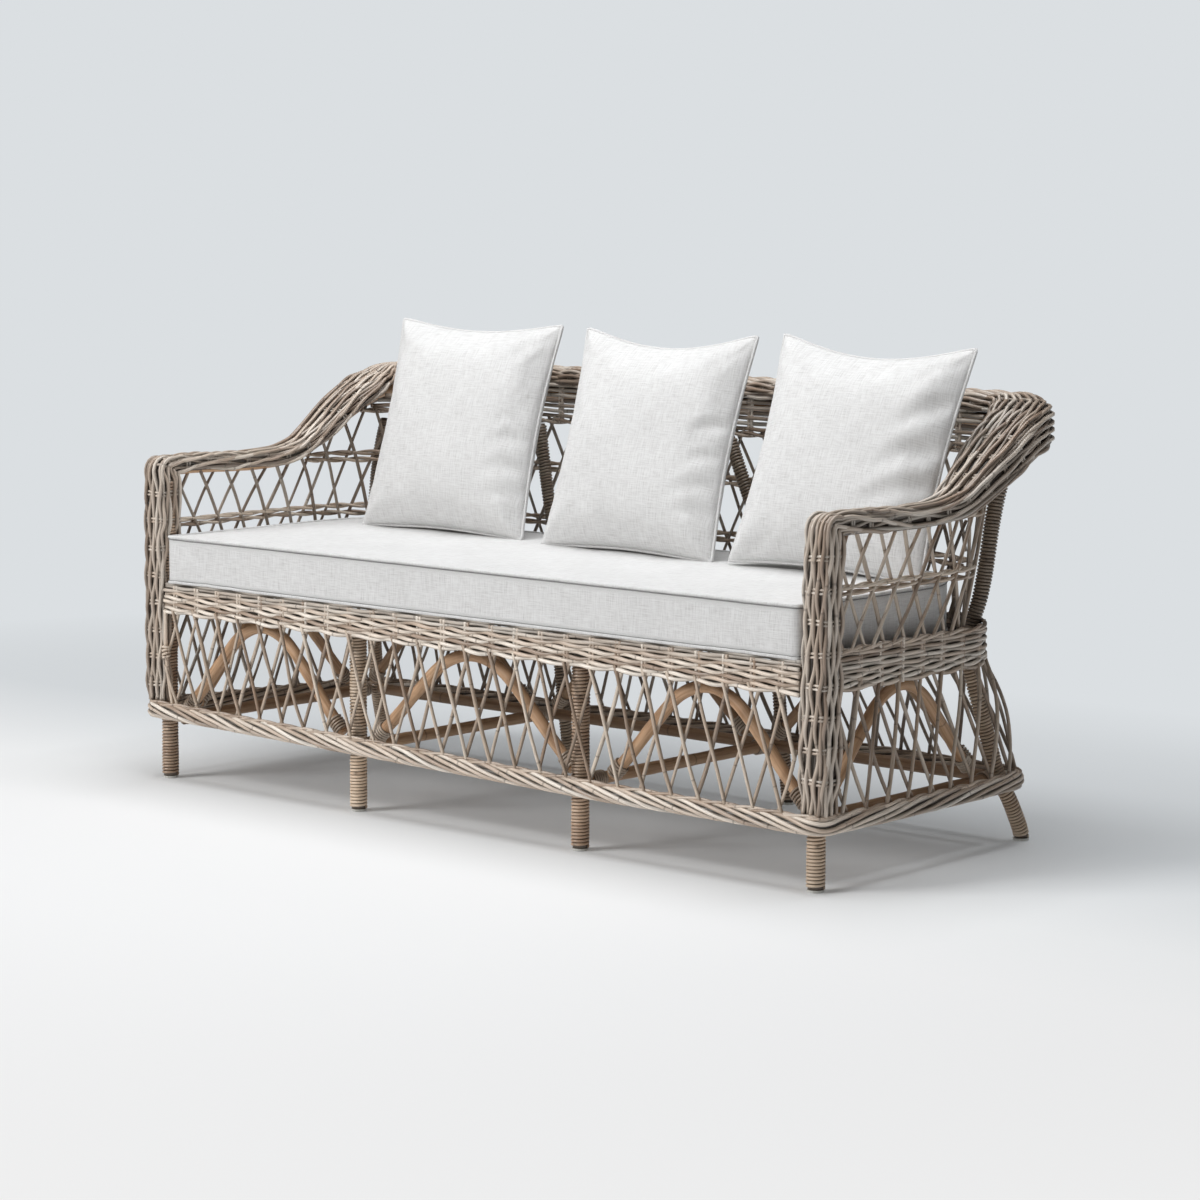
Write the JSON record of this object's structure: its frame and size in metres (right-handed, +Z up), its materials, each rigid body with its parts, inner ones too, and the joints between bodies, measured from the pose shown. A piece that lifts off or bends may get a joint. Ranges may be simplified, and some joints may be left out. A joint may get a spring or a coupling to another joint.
{
  "type": "woven rattan garden sofa",
  "caption": "Three-seat garden sofa of woven rattan with an open lattice back, sides and skirt, rolled arms and top, pole legs, a loose seat cushion and loose back pillows.",
  "frame": {"origin": "middle of the bounding box in plan, on the ground under the glides", "axes": "+X to the sofa's left-hand side as seen from behind (right in the front view), -Y out of the front, +Z up"},
  "size_m": [1.9264, 0.8232, 1.0102],
  "materials": {
    "weave": "matt weathered cane",
    "lattice": "matt weathered cane",
    "wrapped": "matt wrapped cane",
    "pole": "satin peeled pole",
    "nylon": "matt",
    "linen": "plain linen weave"
  },
  "bodies": {
    "frame": {"front_leg_left": "wrapped", "front_leg_mid_left": "wrapped", "rear_leg_left": "wrapped", "rear_leg_mid_left": "wrapped", "front_leg_right": "wrapped", "front_leg_mid_right": "wrapped", "rear_leg_right": "wrapped", "rear_leg_mid_right": "wrapped", "glide_front_left": "nylon", "glide_front_mid_left": "nylon", "glide_rear_left": "nylon", "glide_rear_mid_left": "nylon", "glide_front_right": "nylon", "glide_front_mid_right": "nylon", "glide_rear_right": "nylon", "glide_rear_mid_right": "nylon", "seat_rail_front": "pole", "seat_rail_rear": "pole", "seat_rail_left": "pole", "seat_cross_pole_left": "pole", "seat_rail_right": "pole", "seat_cross_pole_right": "pole", "seat_deck": "weave", "base_rail_rear": "pole", "base_rail_left": "pole", "cross_stretcher_left": "pole", "base_rail_right": "pole", "cross_stretcher_right": "pole", "arch_front_left": "pole", "arch_front_centre": "pole", "arch_front_right": "pole", "arch_rear_left": "pole", "arch_rear_centre": "pole", "arch_rear_right": "pole", "arch_side_left": "pole", "arch_side_right": "pole", "base_braid": "weave", "corner_column_left": "weave", "corner_column_right": "weave", "arm_rim_left": "weave", "arm_rim_right": "weave", "back_top_roll": "weave", "top_rail_pole": "pole", "back_band": "weave", "seat_band_front": "weave", "seat_band_left": "weave", "seat_band_right": "weave", "seat_band_rear": "weave", "lattice_skirt_front": "lattice", "lattice_skirt_left": "lattice", "lattice_side_left": "lattice", "lattice_skirt_right": "lattice", "lattice_side_right": "lattice", "lattice_skirt_rear": "lattice", "lattice_back": "lattice"},
    "seat_cushion": {"seat_cushion": "linen"},
    "pillow_left": {"back_pillow_left": "linen"},
    "pillow_centre": {"back_pillow_centre": "linen"},
    "pillow_right": {"back_pillow_right": "linen"}
  },
  "joints": [
    {"name": "cushion_lift", "type": "slide", "parent": "frame", "child": "seat_cushion", "axis": [0, 0, 1], "range_m": [0, 0.12]},
    {"name": "pillow_lift_left", "type": "slide", "parent": "seat_cushion", "child": "pillow_left", "axis": [0, 0, 1], "range_m": [0, 0.2]},
    {"name": "pillow_lift_centre", "type": "slide", "parent": "seat_cushion", "child": "pillow_centre", "axis": [0, 0, 1], "range_m": [0, 0.2]},
    {"name": "pillow_lift_right", "type": "slide", "parent": "seat_cushion", "child": "pillow_right", "axis": [0, 0, 1], "range_m": [0, 0.2]}
  ]
}
